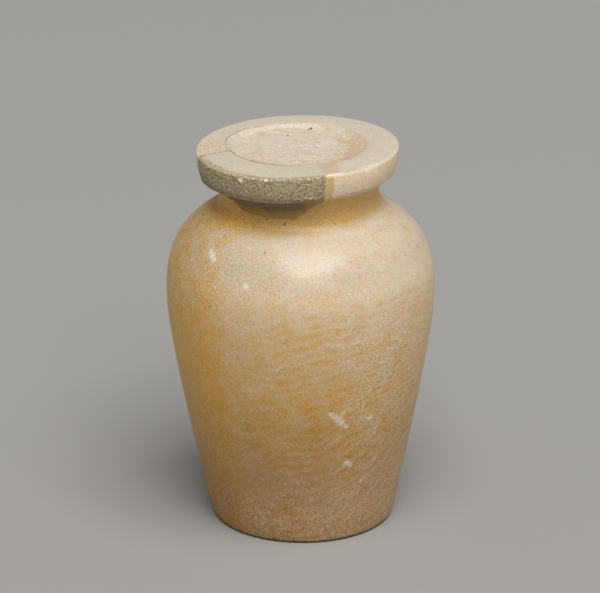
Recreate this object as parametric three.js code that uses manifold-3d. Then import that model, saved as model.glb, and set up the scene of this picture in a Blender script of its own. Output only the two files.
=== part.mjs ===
import * as THREE from "three";
import { mergeVertices } from "three/addons/utils/BufferGeometryUtils.js";
import Module from "manifold-3d";

// A miniature canopic jar of banded travertine, in millimetres, +Z up, standing on the plane z = 0.
// The jar was shaped by hand on a turning stone, so its foot, body and lip don't quite share one axis.
// A dished stone lid is let into the mouth, and mortar stands for a quarter of the lip that broke away.
// The side with the mortar faces -Y and a little to -X.

// Driving sizes
const HEIGHT = 78;
const BELLY_RADIUS = 26.8;
const BELLY_HEIGHT = 46;
const FOOT_RADIUS = 18.3;
const NECK_RADIUS = 15.8;
const LIP_RADIUS = 20;
const LIP_DEPTH = 5.2;
const MOUTH_RADIUS = 13.6;
const BORE_RADIUS = 9;
const WALL = 6.2;
const BASE_THICKNESS = 9;
const JOINT_GAP = 0.2;

// How far the handwork strays from one straight axis
const FOOT_SHIFT = 0.45;
const LIP_SHIFT = -0.6;
const LIP_TILT = 0.025;
const MOUTH_SHIFT = new THREE.Vector2(0.2, 0.5);

// The foot and the wall: the pulls say how far each curve runs on before it turns
const FOOT_ROUNDING = 0.5;
const FOOT_FLARE = new THREE.Vector2(1.6, 5);
const BELLY_PULL_BELOW = 6.4;
const BELLY_PULL_ABOVE = 3;

// The shoulder and the neck
const SHOULDER_END = new THREE.Vector2(17, HEIGHT - 12.5);
const SHOULDER_SLOPE = THREE.MathUtils.degToRad(24);
const SHOULDER_PULL = 12.3;
const NECK_HEIGHT = HEIGHT - 10;
const NECK_PULL = 2;

// The lip: a band whose lower arris is set in a little, over a cove that runs down into the neck
const ARRIS_RADIUS = LIP_RADIUS - 0.7;
const ARRIS_HEIGHT = HEIGHT - LIP_DEPTH;
const COVE_PULL = new THREE.Vector2(2.6, 1.2);
const LIP_ROUNDING = 0.7;
const LIP_CROWN = 0.15;

// The lid's seat: a funnel cut into the lip, with a ledge round the bore
const SEAT_DEPTH = 5.4;
const SEAT_RADIUS = MOUTH_RADIUS - 2.4;
const SEAT_HEIGHT = HEIGHT - SEAT_DEPTH;
const MOUTH_ROUNDING = 0.9;

// The hollow of the belly, which follows the outside at the wall's thickness
const HOLLOW_RADIUS = BELLY_RADIUS - WALL;
const HOLLOW_HEIGHT = BELLY_HEIGHT + 1;
const HOLLOW_PULL_BELOW = 12;
const HOLLOW_PULL_ABOVE = 8;
const FLOOR_RADIUS = FOOT_RADIUS - WALL;
const FLOOR_ROUNDING = 4;
const FLOOR_PULL = new THREE.Vector2(2, 7);
const BORE_FOOT = SHOULDER_END.y - 0.5;
const BORE_FLARE = new THREE.Vector2(6, 2);

// The lid: level, though the lip tilts, so it is flush on one side and sunk on the other
const LID_EDGE_HEIGHT = HEIGHT - 0.35;
const LID_RADIUS = MOUTH_RADIUS - 1.6 * JOINT_GAP;
const LID_FOOT_RADIUS = SEAT_RADIUS - 2 * JOINT_GAP;
const LID_ROUNDING = 0.3;
const DISH_DEPTH = 0.5;
const DISH_SAG = 0.1;
const DISH_FLOOR_RADIUS = MOUTH_RADIUS - 3.2;
const DISH_PULL_FROM_RIM = 1;
const DISH_PULL_FROM_FLOOR = 1.4;

// The break in the lip, between two angles counted from +X towards +Y, with a sloping bed
const BREAK_FROM = THREE.MathUtils.degToRad(192);
const BREAK_TO = THREE.MathUtils.degToRad(286);
const BREAK_TOP = new THREE.Vector2(MOUTH_RADIUS - 0.4, HEIGHT - 1.8);
const BREAK_FOOT = new THREE.Vector2(NECK_RADIUS + 0.7, NECK_HEIGHT + 0.9);

// How finely things are cut up, and how far a cutter runs past what it cuts
const SEGMENTS = 64;
const OVERSHOOT = 4;
const MERGE_TOLERANCE = 1e-4;

const wasm = await Module();
wasm.setup();

const at = (r, z) => new THREE.Vector2(r, z);
const line = (from, to) => new THREE.LineCurve(from, to);
const bend = (from, pull, to) => new THREE.QuadraticBezierCurve(from, pull, to);
const sweep = (from, pullFrom, pullTo, to) => new THREE.CubicBezierCurve(from, pullFrom, pullTo, to);

// The points of an outline, from its curves and the number of steps that each one takes.
function outlineOf(stretches) {
  const points = [stretches[0][0].getPoint(0)];
  for (const [curve, steps] of stretches) {
    points.push(...curve.getPoints(steps).slice(1));
  }
  return points;
}

// A geometry turned round the Z axis from an outline of radius and height.
function turned(points) {
  return new THREE.LatheGeometry(points, SEGMENTS).rotateX(Math.PI / 2);
}

// Moves each vertex of a geometry by where(x, y, z), which returns the new place.
function warped(geometry, where) {
  const places = geometry.getAttribute("position");
  for (let i = 0; i < places.count; i++) {
    places.setXYZ(i, ...where(places.getX(i), places.getY(i), places.getZ(i)));
  }
  return geometry;
}

// A closed geometry as a solid that can be cut and joined.
function solidOf(geometry) {
  const bare = geometry.index ? geometry.toNonIndexed() : geometry.clone();
  bare.deleteAttribute("normal");
  bare.deleteAttribute("uv");
  const merged = mergeVertices(bare, MERGE_TOLERANCE);
  return new wasm.Manifold(
    new wasm.Mesh({
      numProp: 3,
      vertProperties: merged.getAttribute("position").array,
      triVerts: new Uint32Array(merged.index.array),
    }),
  );
}

// A solid as a named mesh of one material.
function meshOf(name, solid, material) {
  const { vertProperties, triVerts } = solid.getMesh();
  const geometry = new THREE.BufferGeometry();
  geometry.setAttribute("position", new THREE.BufferAttribute(vertProperties, 3));
  geometry.setIndex(new THREE.BufferAttribute(triVerts, 1));
  geometry.computeVertexNormals();
  const mesh = new THREE.Mesh(geometry, material);
  mesh.name = name;
  return mesh;
}

// How much of the lip's stray has come in at a height: none below the neck, all of it at the arris.
const lipShare = (z) => THREE.MathUtils.smoothstep(z, SHOULDER_END.y, ARRIS_HEIGHT);

// How far the axis strays at a height: the foot sits to one side of the belly, the lip to the other.
const axisShift = (z) => FOOT_SHIFT * Math.max(0, 1 - z / BELLY_HEIGHT) ** 2 + LIP_SHIFT * lipShare(z);

// Where the handwork carries a point of the true outside, whose lip also leans by its tilt.
function leaned(x, y, z) {
  return [x + axisShift(z), y, z + LIP_TILT * x * lipShare(z)];
}

// The same for the bore and the mouth, which are level but stand a little off the lip's own centre.
function leanedInside(x, y, z) {
  const mouthShare = THREE.MathUtils.smoothstep(z, BELLY_HEIGHT, SEAT_HEIGHT);
  return [x + axisShift(z) + MOUTH_SHIFT.x * mouthShare, y + MOUTH_SHIFT.y * mouthShare, z];
}

// The outside of the jar: flat underside, tapering wall, high shoulder, short neck and broad flat lip.
function outside() {
  const footEdge = at(FOOT_RADIUS - FOOT_ROUNDING, 0);
  const foot = at(FOOT_RADIUS, FOOT_ROUNDING);
  const footPull = at(foot.x + FOOT_FLARE.x, foot.y + FOOT_FLARE.y);
  const belly = at(BELLY_RADIUS, BELLY_HEIGHT);
  const shoulderPull = at(
    SHOULDER_END.x + SHOULDER_PULL * Math.cos(SHOULDER_SLOPE),
    SHOULDER_END.y - SHOULDER_PULL * Math.sin(SHOULDER_SLOPE),
  );
  const neck = at(NECK_RADIUS, NECK_HEIGHT);
  const arris = at(ARRIS_RADIUS, ARRIS_HEIGHT);
  const covePull = at(arris.x - COVE_PULL.x, arris.y - COVE_PULL.y);
  const lipEdge = at(LIP_RADIUS, HEIGHT - LIP_ROUNDING);
  const lipTop = at(LIP_RADIUS - 2 * LIP_ROUNDING, HEIGHT - LIP_CROWN);
  const lipInner = at(MOUTH_RADIUS, HEIGHT);
  return turned(
    outlineOf([
      [line(at(0, 0), footEdge), 1],
      [bend(footEdge, at(FOOT_RADIUS, 0), foot), 2],
      [sweep(foot, footPull, at(belly.x, belly.y - BELLY_PULL_BELOW), belly), 11],
      [sweep(belly, at(belly.x, belly.y + BELLY_PULL_ABOVE), shoulderPull, SHOULDER_END), 12],
      [bend(SHOULDER_END, at(neck.x, SHOULDER_END.y + 0.5 * NECK_PULL), neck), 3],
      [sweep(neck, at(neck.x, neck.y + NECK_PULL), covePull, arris), 4],
      [bend(arris, at(LIP_RADIUS, arris.y + 0.6 * LIP_DEPTH), lipEdge), 3],
      [bend(lipEdge, at(lipEdge.x, lipTop.y), lipTop), 2],
      [line(lipTop, lipInner), 1],
      [line(lipInner, at(0, HEIGHT)), 1],
    ]),
  );
}

// The room inside the jar, from the floor of the belly up through the bore, the seat and the mouth.
function inside() {
  const floorEdge = at(FLOOR_RADIUS - FLOOR_ROUNDING, BASE_THICKNESS);
  const wallFoot = at(FLOOR_RADIUS, BASE_THICKNESS + FLOOR_ROUNDING);
  const wallPull = at(wallFoot.x + FLOOR_PULL.x, wallFoot.y + FLOOR_PULL.y);
  const widest = at(HOLLOW_RADIUS, HOLLOW_HEIGHT);
  const boreFoot = at(BORE_RADIUS, BORE_FOOT);
  const borePull = at(BORE_RADIUS + BORE_FLARE.x, BORE_FOOT - BORE_FLARE.y);
  const boreTop = at(BORE_RADIUS, SEAT_HEIGHT);
  const seatEdge = at(SEAT_RADIUS, SEAT_HEIGHT);
  const mouthEdge = at(MOUTH_RADIUS, HEIGHT - MOUTH_ROUNDING);
  const mouthTop = at(MOUTH_RADIUS + 1.3 * MOUTH_ROUNDING, HEIGHT + MOUTH_ROUNDING);
  const above = at(mouthTop.x, HEIGHT + OVERSHOOT);
  return turned(
    outlineOf([
      [line(at(0, BASE_THICKNESS), floorEdge), 1],
      [bend(floorEdge, at(FLOOR_RADIUS - 1, BASE_THICKNESS), wallFoot), 2],
      [sweep(wallFoot, wallPull, at(widest.x, widest.y - HOLLOW_PULL_BELOW), widest), 5],
      [sweep(widest, at(widest.x, widest.y + HOLLOW_PULL_ABOVE), borePull, boreFoot), 5],
      [line(boreFoot, boreTop), 1],
      [line(boreTop, seatEdge), 1],
      [line(seatEdge, mouthEdge), 1],
      [bend(mouthEdge, at(MOUTH_RADIUS, HEIGHT), mouthTop), 3],
      [line(mouthTop, above), 1],
      [line(above, at(0, above.y)), 1],
    ]),
  );
}

// The wedge of the lip that broke away, grown by margin on its two ends and on its sloping bed.
function breakSolid(margin) {
  const inner = BREAK_TOP.x - OVERSHOOT;
  const outer = LIP_RADIUS + OVERSHOOT;
  const above = HEIGHT + OVERSHOOT;
  const bedTop = BREAK_TOP.y - margin;
  const bedFoot = BREAK_FOOT.y - margin;
  const section = [
    at(inner, above),
    at(inner, bedTop),
    at(BREAK_TOP.x, bedTop),
    at(BREAK_FOOT.x, bedFoot),
    at(outer, bedFoot),
    at(outer, above),
    at(inner, above),
  ];
  const ring = solidOf(warped(turned(section), leanedInside));
  const reach = 3 * LIP_RADIUS;
  const spread = margin / LIP_RADIUS;
  const middle = (BREAK_FROM + BREAK_TO) / 2;
  const corner = (angle, r) => at(r * Math.cos(angle), r * Math.sin(angle));
  const sector = new THREE.Shape([
    corner(middle, 2),
    corner(BREAK_FROM - spread, reach),
    corner(middle, reach),
    corner(BREAK_TO + spread, reach),
  ]);
  const prism = new THREE.ExtrudeGeometry(sector, { depth: HEIGHT, bevelEnabled: false });
  prism.translate(LIP_SHIFT, 0, HEIGHT / 2);
  return ring.intersect(solidOf(prism));
}

// The lid: a slightly conical disc, rounded at its edge, with a shallow dish in its top.
function lid() {
  const bottom = SEAT_HEIGHT + JOINT_GAP;
  const foot = at(LID_FOOT_RADIUS, bottom);
  const edge = at(LID_RADIUS, LID_EDGE_HEIGHT - LID_ROUNDING);
  const rimTop = at(LID_RADIUS - LID_ROUNDING, LID_EDGE_HEIGHT);
  const dishFloor = at(DISH_FLOOR_RADIUS, LID_EDGE_HEIGHT - DISH_DEPTH);
  const rimPull = at(rimTop.x - DISH_PULL_FROM_RIM, rimTop.y);
  const floorPull = at(dishFloor.x + DISH_PULL_FROM_FLOOR, dishFloor.y);
  const outline = outlineOf([
    [line(at(0, bottom), foot), 1],
    [line(foot, edge), 1],
    [bend(edge, at(LID_RADIUS, LID_EDGE_HEIGHT), rimTop), 2],
    [sweep(rimTop, rimPull, floorPull, dishFloor), 4],
    [line(dishFloor, at(0, dishFloor.y - DISH_SAG)), 1],
  ]);
  return warped(turned(outline), (x, y, z) => [x + LIP_SHIFT + MOUTH_SHIFT.x, y + MOUTH_SHIFT.y, z]);
}

const travertine = new THREE.MeshStandardMaterial({ color: 0xcfa365, roughness: 0.42, metalness: 0 });
const lidTravertine = new THREE.MeshStandardMaterial({ color: 0xddc8a6, roughness: 0.6, metalness: 0 });
const mortar = new THREE.MeshStandardMaterial({ color: 0x9c8f74, roughness: 0.95, metalness: 0 });

const wholeJar = solidOf(warped(outside(), leaned)).subtract(solidOf(warped(inside(), leanedInside)));

const canopicJar = new THREE.Group();
canopicJar.add(
  meshOf("jar", wholeJar.subtract(breakSolid(JOINT_GAP)), travertine),
  meshOf("lip_repair", wholeJar.intersect(breakSolid(0)), mortar),
  meshOf("lid", solidOf(lid()), lidTravertine),
);

export default canopicJar;
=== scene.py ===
import math

import bpy
import numpy as np
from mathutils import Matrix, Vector


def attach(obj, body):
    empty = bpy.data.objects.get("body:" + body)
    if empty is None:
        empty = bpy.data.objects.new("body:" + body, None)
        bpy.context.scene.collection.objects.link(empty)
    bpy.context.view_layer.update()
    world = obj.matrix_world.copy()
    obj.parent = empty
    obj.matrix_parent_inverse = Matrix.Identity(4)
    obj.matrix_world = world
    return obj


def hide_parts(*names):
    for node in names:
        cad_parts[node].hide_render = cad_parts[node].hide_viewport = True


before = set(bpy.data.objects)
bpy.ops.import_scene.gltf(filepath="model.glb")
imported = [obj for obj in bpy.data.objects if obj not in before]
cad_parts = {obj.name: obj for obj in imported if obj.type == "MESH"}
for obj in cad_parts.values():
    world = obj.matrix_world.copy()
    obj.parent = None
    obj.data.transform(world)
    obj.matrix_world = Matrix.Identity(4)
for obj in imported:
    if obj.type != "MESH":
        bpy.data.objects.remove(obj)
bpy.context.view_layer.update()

# Jar
# A miniature vessel of banded travertine, cut from one lump: flat foot, tapering wall, high shoulder,
# short neck and broad flat lip. It was drilled hollow, turned by hand and rubbed smooth with sand.
# Angles are counted from +X towards +Y, so the side that faces the camera is at 270 degrees.
MM = 0.001
HEIGHT = 78.0
FOOT_RADIUS = 18.3
FOOT_ROUNDING = 0.65
BELLY_RADIUS = 26.75
BELLY_HEIGHT = 46.0
SHOULDER_END = (17.0, 65.5)
NECK_RADIUS = 15.8
NECK_HEIGHT = 68.0
LIP_RADIUS = 20.0
LIP_DEPTH = 5.2
LIP_ROUNDING = 0.5
LIP_CROWN = 0.18
TOP_WEAR = 0.04
ARRIS_RADIUS = LIP_RADIUS - 0.7
ARRIS_HEIGHT = HEIGHT - LIP_DEPTH
FOOT_SHIFT = 0.45
LIP_SHIFT = -0.6
LIP_TILT = 0.025
MOUTH_WALL_TOP = 13.6
BORE_RADIUS = 9.0
SEAT_RADIUS = 11.2
SEAT_HEIGHT = HEIGHT - 5.4
BASE_THICKNESS = 9.0
BREAK_FROM = 192.0
BREAK_TO = 286.0
BREAK_TOP = (13.2, 76.2)
TOP_SAG = 0.4
DISH_FLOOR = 77.15


def smooth_step(value, low, high):
    """0 up to low and 1 from high on, with a cubic ease between them."""
    share = np.clip((value - low) / (high - low), 0, 1)
    return share * share * (3 - 2 * share)


def curve(start, pull_a, pull_b, end, steps):
    """The cubic Bezier from start to end with two pulls, as steps points after start."""
    t = np.linspace(0, 1, steps + 1)[1:, None]
    start, pull_a, pull_b, end = (np.array(p, float) for p in (start, pull_a, pull_b, end))
    return (1 - t) ** 3 * start + 3 * (1 - t) ** 2 * t * pull_a + 3 * (1 - t) * t * t * pull_b + t ** 3 * end


def straight(start, end, steps):
    """Evenly spaced points from start to end, after start."""
    t = np.linspace(0, 1, steps + 1)[1:, None]
    return (1 - t) * np.array(start, float) + t * np.array(end, float)


def lumps(points, cell, seed):
    """Smooth noise from -1 to 1: random values on a lattice of that cell size, eased between its corners."""
    lattice = np.random.default_rng(seed).uniform(-1, 1, (64, 64, 64))
    place = points / cell + 31.7
    corner = np.floor(place).astype(int)
    share = place - corner
    share = share * share * (3 - 2 * share)
    total = np.zeros(points.shape[:-1])
    for step in np.ndindex(2, 2, 2):
        weight = np.prod(np.abs(1 - np.array(step) - share), axis=-1)
        total += weight * lattice[tuple(np.moveaxis((corner + step) % 64, -1, 0))]
    return total


def axis_shift(z):
    """How far the true axis strays along X at height z: the foot to one side, the lip to the other."""
    foot = FOOT_SHIFT * np.clip(1 - z / BELLY_HEIGHT, 0, 1) ** 2
    return foot + LIP_SHIFT * smooth_step(z, SHOULDER_END[1], ARRIS_HEIGHT)


def leaned(r, angle, z):
    """The point at radius r, angle and height z of the true outline, once the handwork has moved it."""
    tilt = LIP_TILT * r * np.cos(angle) * smooth_step(z, SHOULDER_END[1], ARRIS_HEIGHT)
    return np.stack([r * np.cos(angle) + axis_shift(z), r * np.sin(angle), z + tilt], axis=-1)


def by_angle(degrees, knots):
    """A value round the lip: smooth through knots of (degrees, value), and the same after a full turn."""
    at, values = np.array(knots, float).T
    at = np.concatenate([at[-1:] - 360, at, at[:1] + 360])
    values = np.concatenate([values[-1:], values, values[:1]])
    right = np.clip(np.searchsorted(at, degrees % 360), 1, len(at) - 1)
    share = (degrees % 360 - at[right - 1]) / (at[right] - at[right - 1])
    share = share * share * (3 - 2 * share)
    return values[right - 1] * (1 - share) + values[right] * share


def seam_radius(degrees):
    """How far the mouth's edge is from the lip's centre: hand cut, so it isn't quite a circle."""
    return by_angle(degrees, [(10, 13.8), (60, 13.8), (98, 13.8), (118, 14.4), (135, 15.3), (156, 15.1),
                              (177, 14.2), (195, 13.3), (220, 12.95), (245, 12.8), (268, 12.55), (290, 12.6),
                              (318, 13.3), (340, 13.8)])


def seam_gap(degrees):
    """How wide the open seam between lid and lip is: nearly nothing at the back and right."""
    return by_angle(degrees, [(30, 0.01), (118, 0.02), (128, 0.10), (156, 0.11), (168, 0.04), (186, 0.04),
                              (196, 0.10), (240, 0.09), (262, 0.06), (280, 0.03), (292, 0.01)])


def lip_top(r, degrees):
    """The height of the lip's flat top, which leans, is crowned at its edge and sags where it is mended."""
    crown = LIP_CROWN * np.clip((r - MOUTH_WALL_TOP) / (lip_inset[0] - MOUTH_WALL_TOP), 0, 1) ** 2
    sag = TOP_SAG * mended(degrees) * smooth_step(r, 12, 20)
    return HEIGHT - TOP_WEAR + LIP_TILT * r * np.cos(np.radians(degrees)) - crown - sag


def mended(degrees):
    """1 at the left of the mended stretch of lip, where the mortar has slumped most, easing to 0 at its ends."""
    return smooth_step(degrees, 182, 196) * (1 - smooth_step(degrees, 250, 290))


def dished(r, degrees):
    """The top's height: level floor of the dish, a wall that eases up from it, then the lip's flat top."""
    wall_foot = by_angle(degrees, [(0, 8.6), (40, 9.8), (70, 12.4), (92, 13.0), (118, 13.0), (145, 12.6), (184, 10.4),
                                   (230, 10.0), (270, 10.8), (325, 9.8)])
    brink = by_angle(degrees, [(0, 15.0), (40, 14.8), (70, 14.2), (92, 13.8), (118, 14.3), (145, 15.2), (184, 13.8),
                               (230, 12.9), (288, 12.8), (325, 14.8)])
    return DISH_FLOOR + (lip_top(r, degrees) - DISH_FLOOR) * smooth_step(r, wall_foot, brink)


lip_edge = (LIP_RADIUS, HEIGHT - LIP_ROUNDING)
lip_inset = (LIP_RADIUS - 2 * LIP_ROUNDING, HEIGHT - LIP_CROWN)


def grid_mesh(name, points, closed_across=True, closed_along=False):
    """A mesh of the grid points[row, column], each cell a quad; rows or columns may close into rings."""
    rows, columns = points.shape[:2]
    index = np.arange(rows * columns).reshape(rows, columns)
    if closed_across:
        index = np.concatenate([index, index[:, :1]], axis=1)
    if closed_along:
        index = np.concatenate([index, index[:1]], axis=0)
    quads = np.stack([index[:-1, :-1], index[:-1, 1:], index[1:, 1:], index[1:, :-1]], axis=-1)
    faces = quads.reshape(-1, 4).tolist()
    if closed_along:
        faces += [index[:-1, 0].tolist(), index[-2::-1, -1].tolist()]
    mesh = bpy.data.meshes.new(name)
    mesh.from_pydata((points.reshape(-1, 3) * MM).tolist(), [], faces)
    mesh.polygons.foreach_set("use_smooth", np.ones(len(mesh.polygons), bool))
    mesh.set_sharp_from_angle(angle=math.radians(48))
    mesh.update()
    return mesh


def paint(mesh, name, values):
    """Keeps one number for each vertex in the mesh, for its material to read."""
    layer = mesh.attributes.new(name, "FLOAT", "POINT")
    layer.data.foreach_set("value", np.clip(values, 0, 1).astype(np.float32).ravel())


def show(name, mesh, material, node):
    """Puts a finished mesh in the scene in place of its solid."""
    piece = bpy.data.objects.new(name, mesh)
    bpy.context.collection.objects.link(piece)
    mesh.materials.append(material)
    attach(piece, "root")
    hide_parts(node)
    return piece


below_cove = np.concatenate([
    [(0.0, 0.0)],
    straight((0, 0), (FOOT_RADIUS - FOOT_ROUNDING, 0), 4),
    curve((FOOT_RADIUS - FOOT_ROUNDING, 0), (FOOT_RADIUS - 0.1, 0), (FOOT_RADIUS, 0.1),
          (FOOT_RADIUS, FOOT_ROUNDING), 4),
    curve((FOOT_RADIUS, FOOT_ROUNDING), (FOOT_RADIUS + 1.6, 5.5), (BELLY_RADIUS, BELLY_HEIGHT - 6.4),
          (BELLY_RADIUS, BELLY_HEIGHT), 70),
    curve((BELLY_RADIUS, BELLY_HEIGHT), (BELLY_RADIUS, BELLY_HEIGHT + 3),
          (SHOULDER_END[0] + 11.2, SHOULDER_END[1] - 5.0), SHOULDER_END, 44),
    curve(SHOULDER_END, (16.5, 65.8), (NECK_RADIUS + 0.1, 66.8), (NECK_RADIUS, NECK_HEIGHT), 8),
    straight((NECK_RADIUS, NECK_HEIGHT), (NECK_RADIUS + 0.15, NECK_HEIGHT + 1.2), 4),
])
lip_stretch = np.concatenate([
    curve((NECK_RADIUS + 0.15, NECK_HEIGHT + 1.2), (NECK_RADIUS + 0.6, NECK_HEIGHT + 2.6),
          (ARRIS_RADIUS - 2.2, ARRIS_HEIGHT - 1.0), (ARRIS_RADIUS, ARRIS_HEIGHT), 16),
    curve((ARRIS_RADIUS, ARRIS_HEIGHT), (LIP_RADIUS, ARRIS_HEIGHT + 1.8), (LIP_RADIUS, HEIGHT - 2), lip_edge, 16),
    curve(lip_edge, (LIP_RADIUS, HEIGHT - 0.3), (lip_inset[0] + 0.5, lip_inset[1]), lip_inset, 6),
    straight(lip_inset, (MOUTH_WALL_TOP, HEIGHT), 18),
])
inside = np.concatenate([
    straight((MOUTH_WALL_TOP, HEIGHT - 0.5), (SEAT_RADIUS, SEAT_HEIGHT), 4),
    straight((SEAT_RADIUS, SEAT_HEIGHT), (BORE_RADIUS, SEAT_HEIGHT), 1),
    straight((BORE_RADIUS, SEAT_HEIGHT), (BORE_RADIUS, 65.0), 2),
    curve((BORE_RADIUS, 65.0), (15.0, 63.0), (20.4, 55.0), (20.4, 47.0), 7),
    curve((20.4, 47.0), (20.4, 35.0), (14.0, 20.0), (12.0, 13.0), 7),
    curve((12.0, 13.0), (11.5, 10.5), (10.0, BASE_THICKNESS), (7.0, BASE_THICKNESS), 3),
    straight((7.0, BASE_THICKNESS), (0, BASE_THICKNESS), 1),
])
outline = np.concatenate([below_cove, lip_stretch, inside])
lip_rows = slice(len(below_cove), len(below_cove) + len(lip_stretch))
top_rows = slice(lip_rows.stop - 18, lip_rows.stop)

degrees = np.unique(np.concatenate([
    np.linspace(0, 360, 380, endpoint=False),
    np.linspace(188, 196, 28),
    np.linspace(282, 294, 40),
]))
angles = np.radians(degrees)
shape = (len(outline), len(degrees))
radii = np.broadcast_to(outline[:, :1], shape).copy()
heights = np.broadcast_to(outline[:, 1:], shape).copy()

# The lip's top runs in to the seam round the lid, with its rows close together there.
top_share = np.concatenate([np.linspace(1 / 13, 1, 13)[:-1], [0.94, 0.96, 0.975, 0.985, 0.995, 1.0]])[:, None]
radii[top_rows] = lip_inset[0] * (1 - top_share) + seam_radius(degrees) * top_share

# Where the lip broke away, its rows lie on the bed of the break instead, from half way up the cove.
BREAK_FOOT = lip_stretch[8]
break_rows = slice(lip_rows.start + 9, lip_rows.stop)
break_row = np.linspace(0, 1, len(lip_stretch) - 9)[:, None]
bed_radius = BREAK_FOOT[0] * (1 - break_row) + BREAK_TOP[0] * break_row
bed_height = BREAK_FOOT[1] * (1 - break_row) + BREAK_TOP[1] * break_row
jagged = lumps(np.stack([10 * break_row, 0 * break_row, 0 * break_row], axis=-1), 0.6, 5)
first_edge = BREAK_FROM + 0.25 * jagged
on_face = 1 - smooth_step(break_row, 0.35, 0.55)
last_edge = BREAK_TO - 0.01 + (0.4 * jagged - 0.6) * on_face
gone = (degrees > first_edge) & (degrees < last_edge)

points = leaned(radii, angles, heights)
points[lip_rows, :, 2] -= TOP_SAG * mended(degrees) * smooth_step(heights[lip_rows], 70, 73)
edge_worn = 0.03 * smooth_step(seam_gap(degrees), 0.02, 0.1) * smooth_step(top_share, 0.96, 1.0)
points[top_rows, :, 2] = dished(radii[top_rows], degrees) - edge_worn
bed = leaned(bed_radius + 0 * angles, angles, bed_height + 0 * angles)
bed[..., 2] -= TOP_SAG * mended(degrees) * smooth_step(bed_height, 70, 73)
points[break_rows] = np.where(gone[..., None], bed, points[break_rows])

# The handwork: slow swells of the wall, fine unevenness, and chips along the lip's arris at the right.
outward = np.stack([np.cos(angles), np.sin(angles), 0 * angles], axis=-1)
swell = 0.07 * lumps(points, 9.0, 1) + 0.025 * lumps(points, 2.6, 2) - 0.03
swell[:9] = 0
swell *= 1 - smooth_step(heights, 63, 66) * smooth_step(degrees, 184, 190) * (1 - smooth_step(degrees, 288, 294))
points += swell[..., None] * outward * (heights > 0.4)[..., None] * (radii > 12)[..., None]
on_arris = np.exp(-((radii - 19.6) / 0.9) ** 2 - ((heights - 77.4) / 0.8) ** 2)
bruised = on_arris * smooth_step(degrees, 307, 313) * (1 - smooth_step(degrees, 319, 325))
chips = bruised * (0.12 + 0.22 * np.clip(lumps(points, 0.7, 3), 0, 1))
points -= chips[..., None] * outward
points[..., 2] -= 0.6 * chips

jar_mesh = grid_mesh("jar_stone", points)


def near(degree, height, width):
    """1 at a place on the wall and 0 from width millimetres away, for a mark on the stone."""
    place = leaned(np.interp(height, outline[:150, 1], outline[:150, 0]), math.radians(degree), height)
    return 1 - smooth_step(np.linalg.norm(points - place, axis=-1), 0.0, 1.4 * width)


wall_height = points[..., 2]
cloud = lumps(points, 11.0, 7)
before_full_turn = 1 - smooth_step(degrees, 325, 359)
height_cream = np.interp(wall_height, [0, 5, 11, 22, 34, 41, 49, 57, 63, 66],
                         [.36, .5, .42, .18, .3, .46, .58, .88, .96, .74])
# Partly painted light: the shaded left side is painted deeper gold and the lit front right creamier.
side_shade_and_cream = by_angle(degrees, [(30, 0.1), (100, 0.0), (150, -0.15), (190, -0.5), (222, -0.42), (241, 0.0),
                                (270, 0.02), (300, 0.14), (330, 0.14)])
paint(jar_mesh, "cream", height_cream + side_shade_and_cream + 0.08 * cloud)
bands_end = 55 + 9 * smooth_step(degrees, 288, 318) * (1 - smooth_step(degrees, 340, 359))
side_bands = by_angle(degrees, [(30, 0.9), (100, 0.7), (180, 0.35), (225, 0.15), (250, 0.5), (272, 0.95), (330, 1.0)])
paint(jar_mesh, "bands", side_bands * (1 - smooth_step(wall_height, bands_end - 8, bands_end + 4)))
# Darker and browner towards the foot: partly the stone's own colour, partly painted shade.
paint(jar_mesh, "low", 1 - smooth_step(wall_height, 6, 42))
# Partly painted glow: the neck is a saturated gold, the stone's own ochre and light shining through the stone.
neck_from = by_angle(degrees, [(100, 64.6), (200, 64.0), (258, 64.2), (284, 65.4), (340, 65.4)])
neck = smooth_step(wall_height, neck_from, neck_from + 1.6) * (1 - smooth_step(wall_height, 72.0, 73.0))
on_top = np.zeros(shape)
on_top[top_rows.start - 5:top_rows.stop] = 1
rim = smooth_step(wall_height, 72.3, 73.2) * (1 - on_top)
rim[top_rows.stop:] = 0
paint(jar_mesh, "opaque", np.maximum(on_top, 0.7 * rim))
# Painted glow: the lower right of the lip's band is painted golden, for light shining through the stone.
glow = 0.55 * rim * by_angle(degrees, [(60, 0), (310, 0), (338, 1), (359, 1)])
glow = glow * (1 - smooth_step(wall_height, 74.8, 77.4))
paint(jar_mesh, "ochre_and_glow", np.maximum(neck * (0.85 + 0.3 * cloud), glow))
shoulder = smooth_step(wall_height, 54, 60) * (1 - smooth_step(wall_height, 64.2, 66.0))
polished = shoulder * by_angle(degrees, [(100, 0.5), (190, 0.0), (222, 0.3), (240, 0.65), (285, 0.7), (310, 0.25)])
paint(jar_mesh, "worn", np.maximum(on_top, 0.6 * polished))
# Painted shade: darker colour on the shoulder, the left shoulder, the neck under the lip and the front of the wall.
shade_left = smooth_step(degrees, 170, 188) * (1 - smooth_step(degrees, 212, 232)) * smooth_step(wall_height, 46, 54)
shade_left = shade_left * (1 - smooth_step(wall_height, 62, 65))
shade_neck = neck * smooth_step(degrees, 222, 240) * (1 - 0.6 * smooth_step(degrees, 276, 290))
shade_neck = shade_neck * before_full_turn
shade_front = smooth_step(degrees, 228, 240) * (1 - smooth_step(degrees, 278, 292)) * smooth_step(wall_height, 6, 14)
shade_front = shade_front * (1 - smooth_step(wall_height, 26, 36))
shade_wall = smooth_step(wall_height, 8, 16) * (1 - smooth_step(wall_height, 50, 56)) * smooth_step(degrees, 232, 246)
shade_wall = shade_wall * before_full_turn
painted_shade_tone = 1 - 0.12 * shoulder - 0.07 * shade_left - 0.18 * shade_neck - 0.07 * shade_front - 0.04 * shade_wall
paint(jar_mesh, "painted_shade_tone", painted_shade_tone)
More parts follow.
